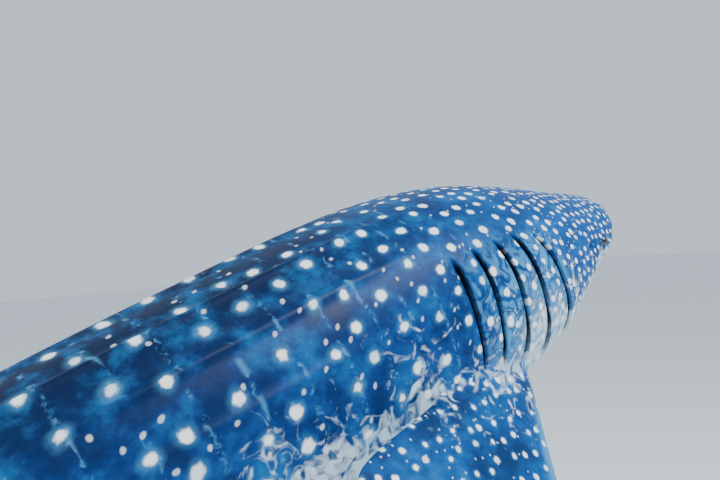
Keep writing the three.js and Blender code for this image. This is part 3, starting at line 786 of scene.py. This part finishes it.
# Noises in space: the size of their patches in millimetres, their detail, and more. The real
# scales are under a millimetre, so their grain is drawn as coarse as it needs to be to show.
CLOUDS = {"cloud": (454.545, 4.0, {}), "fine": (125.0, 6.0, {"Roughness": 0.62}),
          "curl": (66.6667, 4.0, {"Distortion": 1.6}), "creases": (45.4545, 5.0, {}),
          "scales": (5.0, 3.0, {})}

# Coat of the hide, from the ground up. Each row is a colour and the measures that it goes by.
# A measure lets the colour in smoothly between its two limits, from 0 to 1 or between the two
# shares after them, and the shares of a row are multiplied.
COAT: tuple[tuple, ...] = (
    # Ground: navy on the back, bluer down the flank, lighter on the head and the pectorals
    ("flank", ("angle", 0.80, -0.05)),
    ("head", ("station", 0.34, 0.08, 0.0, 0.72)),
    ("head", ("station", 0.38, 0.32, 0.0, 0.50), ("on_fin", 0.0, 1.0)),
    # Clouds of lighter and of darker blue
    ("haze", ("fine", 0.46, 0.76, 0.0, 0.50)),
    ("back", ("fine", 0.52, 0.36, 0.0, 0.60), ("station", 0.10, 0.24, 0.35, 1.0)),
    # Faint upright bars between the columns of spots, broken into short strokes
    ("streak", ("column", 0.10, 0.0), ("curl", 0.50, 0.64), ("station", 0.14, 0.26, 0.0, 0.42),
     ("on_fin", 1.0, 0.0)),
    # Pale streaks down the gill flaps
    ("streak", ("station", 0.118, 0.135), ("station", 0.225, 0.205), ("angle", 0.40, 0.05),
     ("curl", 0.45, 0.62, 0.0, 0.60)),
    # Whitish belly, breaking up into a curling net of blotches on the lower flank
    ("belly", ("edge", 1.04, 0.70)),
    ("streak", ("edge", 1.04, 0.70), ("cloud", 0.44, 0.70, 0.0, 0.35)),
    # Root of the pectorals: paler and mottled, so that they grow out of the flank
    ("belly", ("root", 0.67, 0.50, 0.0, 0.75), ("on_fin", 0.0, 1.0), ("station", 0.36, 0.33)),
    # Leading edge of a fin: a plain paler band
    ("streak", ("chord", 1.085, 1.03, 0.0, 0.55), ("on_fin", 0.0, 1.0)),
    # Soft paler ring round each spot: a painted glow
    ("streak", ("far", 0.345, 0.105, 0.0, 0.34), ("angle", -0.50, -0.20)),
    # Spots, one in each cell, and specks between some of them
    ("spot", ("beyond", 0.09, 0.01), ("bright", 0.0, 0.50, 0.72, 1.0),
     ("station", 0.010, 0.018), ("angle", -0.62, -0.30)),
    ("spot", ("speck", 0.17, 0.08), ("chance", 0.74, 0.78, 0.0, 0.50),
     ("station", 0.010, 0.018), ("angle", -0.62, -0.30)),
    # Round the blunt front of the snout, where rows run together, spots are set in space
    ("spot", ("grain", 0.42, 0.30), ("station", 0.018, 0.010), ("angle", -0.62, -0.30)),
    # Deep shade inside the slits, the mouth line and the spiracle
    ("slit", ("shade", 0.25, 0.95)),
)


@dataclass(frozen=True)
class SharkHide:
    """Painted cast of shark hide: tooth-like scales too fine to see give it a wet satin sheen."""

    back: str = "#02183a"
    flank: str = "#003270"
    head: str = "#005199"
    haze: str = "#1f7fc4"
    spot: str = "#f4f8f7"
    belly: str = "#c2d9e6"
    # Pale blue of the bars and streaks, also used for the painted glow round each spot
    streak: str = "#5aaadb"
    # Painted shade inside the gill slits, the mouth line, the spiracles and the nostrils
    slit: str = "#020c20"
    snout_spot_mm: float = 37.037
    spot_share: Pair = (0.18, 0.08)
    spot_spread: float = 0.05
    fin_spot: float = 0.035
    wander: float = 0.16
    ragged: float = 0.09

    def measures(self, t: Tree, place: Socket) -> dict[str, Socket]:
        """All that the coat goes by: places on the body, clouds, and distances from spots."""
        known: dict = {}
        for layer, names in (("cell", ("along", "across", "station")),
                             ("tone", ("angle", "shade", "chord")),
                             ("lean", ("shear", "reach", "on_fin"))):
            vector = add(t, "Attribute", {}, attribute_name=layer).outputs["Vector"]
            known.update(zip(names, add(t, "SeparateXYZ", {0: vector}).outputs))
        for name, (size_mm, detail, more) in CLOUDS.items():
            known[name] = add(t, "TexNoise", {"Vector": place, "Scale": 1 / (size_mm * MM),
                                              "Detail": detail, **more})
        known["grain"] = add(t, "TexVoronoi", {
            "Vector": place, "Scale": 1 / (self.snout_spot_mm * MM), "Randomness": 0.75})
        for name, cloud, share, base in (("broken", "curl", 1.3, "angle"),
                                         ("edge", "cloud", 0.9, "broken"),
                                         ("root", "curl", 0.8, "reach"),
                                         ("height", "scales", 0.25, "creases")):
            known[name] = add(t, "Math", {0: known[cloud], 1: share, 2: known[base]},
                              operation="MULTIPLY_ADD")
        known.update(self.spots(t, known))
        return known

    def spots(self, t: Tree, known: dict[str, Socket]) -> dict[str, Socket]:
        """Distances from the spots that follow the body, in shares of the space between them.

        All scales here are in that space, which the skin has set in metres at each place.
        """
        flat = add(t, "CombineXYZ", {0: known["along"], 1: known["across"]})
        wobble = add(t, "TexNoise", {"Vector": flat, "Scale": 2.2, "Detail": 2.0})
        centred = add(t, "VectorMath", {0: wobble.outputs["Color"], 1: (0.5, 0.5, 0.5)},
                      operation="SUBTRACT")
        push = add(t, "VectorMath", {0: centred, "Scale": self.wander}, operation="SCALE")
        moved = add(t, "VectorMath", {0: flat, 1: push})
        column = add(t, "Math", {0: add(t, "SeparateXYZ", {0: moved}), 1: 0.5},
                     operation="PINGPONG")
        dots = add(t, "TexVoronoi", {"Vector": moved, "Scale": 1.0, "Randomness": 0.48},
                   voronoi_dimensions="2D")
        vary = add(t, "SeparateXYZ", {0: dots.outputs["Color"]})
        off = add(t, "VectorMath", {0: moved, 1: dots.outputs["Position"]}, operation="SUBTRACT")
        dx, dy = add(t, "SeparateXYZ", {0: off}).outputs[:2]
        upright = add(t, "Math", {0: dx, 1: known["shear"], 2: dy}, operation="MULTIPLY_ADD")
        run = add(t, "VectorMath", {0: add(t, "CombineXYZ", {0: dx, 1: upright})},
                  operation="LENGTH").outputs["Value"]
        uneven = add(t, "TexNoise", {"Vector": flat, "Scale": 9.0, "Detail": 3.0})
        far = add(t, "Math", {0: uneven, 1: self.ragged, 2: run}, operation="MULTIPLY_ADD")
        radius = add(t, "MapRange", {0: known["station"], 1: 0.10, 2: 0.30,
                                     3: self.spot_share[0], 4: self.spot_share[1]},
                     interpolation_type="SMOOTHSTEP")
        for part, share in ((vary, self.spot_spread), (known["on_fin"], self.fin_spot)):
            radius = add(t, "Math", {0: part, 1: share, 2: radius}, operation="MULTIPLY_ADD")
        beyond = add(t, "Math", {0: far, 1: radius}, operation="SUBTRACT")
        small = add(t, "TexVoronoi", {"Vector": moved, "Scale": 2.3, "Randomness": 0.9},
                    voronoi_dimensions="2D")
        chance = add(t, "SeparateXYZ", {0: small.outputs["Color"]}).outputs[1]
        return {"column": column, "bright": vary.outputs[1], "far": far, "beyond": beyond,
                "speck": small, "chance": chance}

    def paint(self, t: Tree, known: dict[str, Socket]) -> Socket:
        """Lays the rows of the coat over each other on the colour of the back."""
        colour: object = linear(self.back)
        for name, *limits in COAT:
            share = None
            for measure, low, high, *ends in limits:
                start, end = ends or (0.0, 1.0)
                rise = add(t, "MapRange", {0: known[measure], 1: low, 2: high, 3: start, 4: end},
                           interpolation_type="SMOOTHSTEP")
                share = rise if share is None else add(t, "Math", {0: share, 1: rise},
                                                       operation="MULTIPLY")
            colour = add(t, "Mix", {"Factor": share, 6: colour, 7: linear(getattr(self, name))},
                         data_type="RGBA").outputs[2]
        return colour

    def make(self) -> bpy.types.Material:
        """Builds the hide's material."""
        material, t, shader, place = new_material("painted_shark_hide")
        known = self.measures(t, place)
        bump = add(t, "Bump", {"Height": known["height"], "Strength": 0.22, "Distance": 0.006})
        rough = add(t, "MapRange", {0: known["fine"], 1: 0.3, 2: 0.7, 3: 0.42, 4: 0.58},
                    interpolation_type="SMOOTHSTEP")
        wire(t, shader, {"Base Color": self.paint(t, known), "Normal": bump, "Roughness": rough,
                         "IOR": 1.45, "Specular IOR Level": 0.14, "Coat Weight": 0.04,
                         "Coat Roughness": 0.30})
        return material


@dataclass(frozen=True)
class EyeGlass:
    """Polished glass eye: a black pupil in a dark ring, under a clear wet bulge."""

    pupil: str = "#020305"
    ring: str = "#18222b"
    pupil_mm: float = 9.0
    front_mm: float = 25.0

    def make(self, name: str, centre: Array, out: Array) -> bpy.types.Material:
        """Builds the eye's material round the line that it looks along."""
        material, t, shader, place = new_material(name)
        aim = tuple(centre + out * self.front_mm * MM)
        far = add(t, "VectorMath", {0: place, 1: aim}, operation="DISTANCE").outputs["Value"]
        share = add(t, "MapRange", {0: far, 1: self.pupil_mm * MM, 2: self.pupil_mm * 1.25 * MM})
        mixed = add(t, "Mix", {"Factor": share, 6: linear(self.pupil), 7: linear(self.ring)},
                    data_type="RGBA")
        wire(t, shader, {"Base Color": mixed.outputs[2], "Roughness": 0.06, "Coat Weight": 0.6})
        return material


@dataclass(frozen=True)
class PowderCoat:
    """Powder-coated steel plate: baked paint with a fine orange-peel surface."""

    colour: str = "#3c4043"
    dusty: str = "#4a4f52"
    peel_mm: float = 2.5
    dust_mm: float = 333.333

    def make(self) -> bpy.types.Material:
        """Builds the paint's material."""
        material, t, shader, place = new_material("powder_coated_steel")
        peel = add(t, "TexNoise", {"Vector": place, "Scale": 1 / (self.peel_mm * MM)})
        dust = add(t, "TexNoise", {"Vector": place, "Scale": 1 / (self.dust_mm * MM),
                                   "Detail": 6.0})
        tint = add(t, "Mix", {"Factor": dust, 6: linear(self.colour), 7: linear(self.dusty)},
                   data_type="RGBA")
        bump = add(t, "Bump", {"Height": peel, "Strength": 0.15, "Distance": 0.0006})
        wire(t, shader, {"Base Color": tint.outputs[2], "Normal": bump, "Roughness": 0.5})
        return material


@dataclass(frozen=True)
class BrushedSteel:
    """Stainless tube, brushed round its length, which blurs its highlights."""

    colour: str = "#a9acae"
    stroke_mm: float = 33.3333
    line_mm: float = 1.11111

    def make(self) -> bpy.types.Material:
        """Builds the metal's material."""
        material, t, shader, place = new_material("brushed_stainless_steel")
        squeeze = (1.0, 1.0, self.stroke_mm / self.line_mm)
        long = add(t, "Mapping", {"Vector": place, "Scale": squeeze})
        lines = add(t, "TexNoise", {"Vector": long, "Scale": 1 / (self.stroke_mm * MM),
                                    "Detail": 6.0})
        rough = add(t, "MapRange", {0: lines, 3: 0.26, 4: 0.46})
        bump = add(t, "Bump", {"Height": lines, "Strength": 0.12, "Distance": 0.0004})
        wire(t, shader, {"Base Color": linear(self.colour), "Metallic": 1.0, "Roughness": rough,
                         "Normal": bump})
        return material


@dataclass
class Eyes:
    """Two small glass eyes, set as deep as the solids set them."""

    body: BodyShape
    finish: EyeGlass = EyeGlass()
    cornea: float = 0.012
    cornea_start: float = 0.75

    def build(self, side: Side) -> Piece:
        """Ball with a cornea that stands a little proud."""
        body = self.body
        centre = body.place(body.eye_station, body.eye_angle, -body.eye_sunk, side)
        out = body.place(body.eye_station, body.eye_angle, 0.1, side) - centre
        out /= np.linalg.norm(out)
        clear_selection()
        bpy.ops.mesh.primitive_uv_sphere_add(segments=40, ring_count=24,
                                             radius=body.eye_radius, location=centre)
        ball = bpy.context.object
        ball.name = f"glass_eye_{side.word}"
        bpy.ops.object.transform_apply(location=True, rotation=True, scale=True)
        for vertex in ball.data.vertices:
            away = np.array(vertex.co) - centre
            toward = away.dot(out) / body.eye_radius
            if toward > self.cornea_start:
                vertex.co += Vector(out) * self.cornea * (toward - self.cornea_start)
        ball.data.shade_smooth()
        ball.data.materials.append(self.finish.make(f"glass_eye_{side.word}", centre, out))
        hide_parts(f"eye_{side.word}")
        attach(ball, "root")
        return ball


@dataclass
class DisplayStand:
    """Flat base with two upright rods, each on a bolted flange."""

    bevel: float = 0.008
    bolt_radius: float = 0.011
    bolt_circle: float = 0.095
    bolts: int = 6
    bolt_height: float = 0.010
    stem: float = 0.048
    flange_height: float = 0.020
    collar: float = 0.012
    collar_height: float = 0.034
    sunk: float = 0.001

    def base(self, finish: bpy.types.Material) -> None:
        """Keeps the solids' base plate and paints it."""
        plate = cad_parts["stand_base"]
        plate.data.materials.clear()
        plate.data.materials.append(finish)

    def rod(self, word: str, finish: bpy.types.Material) -> Piece:
        """One rod with its flange, collar and bolts, up into the belly."""
        node = f"stand_rod_{word}"
        low, high = (Vector(corner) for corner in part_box(node))
        centre = (low + high) / 2
        flange = (high.x - low.x) / 2
        seat = low.z + self.flange_height - self.sunk
        x, y = centre.x, centre.y
        cylinders = [(64, self.stem, high.z - low.z, (x, y, centre.z)),
                     (64, flange, self.flange_height, (x, y, low.z + self.flange_height / 2)),
                     (64, self.stem + self.collar, self.collar_height,
                      (x, y, seat + self.collar_height / 2))]
        for number in range(self.bolts):
            turn = math.tau * number / self.bolts
            cylinders.append((6, self.bolt_radius, self.bolt_height,
                              (x + self.bolt_circle * math.cos(turn),
                               y + self.bolt_circle * math.sin(turn),
                               seat + self.bolt_height / 2)))
        clear_selection()
        parts = []
        for vertices, radius, depth, place in cylinders:
            bpy.ops.mesh.primitive_cylinder_add(vertices=vertices, radius=radius, depth=depth,
                                                location=place)
            parts.append(bpy.context.object)
        rod = parts[0]
        rod.name = f"brushed_rod_{word}"
        clear_selection()
        for part in parts:
            part.select_set(True)
        bpy.context.view_layer.objects.active = rod
        bpy.ops.object.join()
        bpy.ops.object.transform_apply(location=True, rotation=True, scale=True)
        rounding = rod.modifiers.new("edge", "BEVEL")
        rounding.width, rounding.segments = 0.002, 2
        bpy.ops.object.modifier_apply(modifier=rounding.name)
        bpy.ops.object.shade_smooth_by_angle(angle=math.radians(40))
        rod.data.materials.append(finish)
        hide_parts(node)
        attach(rod, "root")
        return rod


@dataclass
class Studio:
    """Pale floor, soft light, and the photo's camera."""

    camera_place: tuple[float, float, float] = (-1.0695, -2.4013, 2.4238)
    yaw: float = 52.349
    pitch: float = 0.489
    roll: float = -3.797
    focal_px: float = 744.3
    picture_px: float = 720.0
    sensor: float = 36.0

    def camera(self) -> None:
        """Camera beside and behind the shark's right flank, as in the photo."""
        yaw, pitch, roll = (math.radians(v) for v in (self.yaw, self.pitch, self.roll))
        ahead = Vector((math.cos(yaw) * math.cos(pitch), math.sin(yaw) * math.cos(pitch),
                        math.sin(pitch)))
        right = ahead.cross(Vector((0, 0, 1))).normalized()
        up = right.cross(ahead)
        turned = right * math.cos(roll) + up * math.sin(roll)
        raised = -right * math.sin(roll) + up * math.cos(roll)
        data = bpy.data.cameras.new("photo_camera")
        data.sensor_width = self.sensor
        data.lens = self.sensor * self.focal_px / self.picture_px
        data.clip_end = 200
        camera = bpy.data.objects.new("photo_camera", data)
        basis = Matrix((turned, raised, -ahead)).transposed()
        camera.matrix_world = Matrix.Translation(self.camera_place) @ basis.to_4x4()
        bpy.context.collection.objects.link(camera)
        bpy.context.scene.camera = camera

    def lamp(self, name: str, place: tuple[float, float, float], size: float,
             power: float) -> None:
        """Broad soft lamp that looks at the middle of the shark."""
        data = bpy.data.lights.new(name, "AREA")
        data.shape, data.size, data.energy = "DISK", size, power
        lamp = bpy.data.objects.new(name, data)
        aim = Vector((0, 0, 1.8)) - Vector(place)
        turn = aim.to_track_quat("-Z", "Y").to_matrix().to_4x4()
        lamp.matrix_world = Matrix.Translation(place) @ turn
        bpy.context.collection.objects.link(lamp)

    def build(self) -> None:
        """Floor, world and lamps."""
        clear_selection()
        bpy.ops.mesh.primitive_plane_add(size=120)
        floor = bpy.context.object
        floor.name = "studio_floor"
        material, t, shader, _ = new_material("pale_studio_floor")
        wire(t, shader, {"Base Color": linear("#eff1f2"), "Roughness": 0.9})
        floor.data.materials.append(material)
        world = bpy.data.worlds.new("soft_studio")
        world.use_nodes = True
        wire(world.node_tree, world.node_tree.nodes["Background"],
             {"Color": linear("#d3e1ee"), "Strength": 1.05})
        bpy.context.scene.world = world
        self.lamp("key_lamp", (2.0, -5.5, 8.0), 3.0, 760)
        self.lamp("fill_lamp", (-6.0, 4.5, 6.0), 5.0, 450)
        self.camera()


FLESH_NODES = [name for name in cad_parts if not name.startswith(("stand_", "eye_"))]


def main() -> None:
    """Builds the skin, eyes and stand, and sets the scene round them."""
    logging.basicConfig(level=logging.INFO)
    Studio().build()
    body = BodyShape()
    skin = SharkSkin(body).build()
    skin.data.materials.append(SharkHide().make())
    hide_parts(*FLESH_NODES)
    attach(skin, "root")
    LOG.info("skin: %d faces", len(skin.data.polygons))
    eyes = Eyes(body)
    for side in Side:
        LOG.info("%s built", eyes.build(side).name)
    stand = DisplayStand()
    stand.base(PowderCoat().make())
    steel = BrushedSteel().make()
    for word in ("front", "rear"):
        LOG.info("%s built", stand.rod(word, steel).name)


if __name__ == "__main__":
    main()
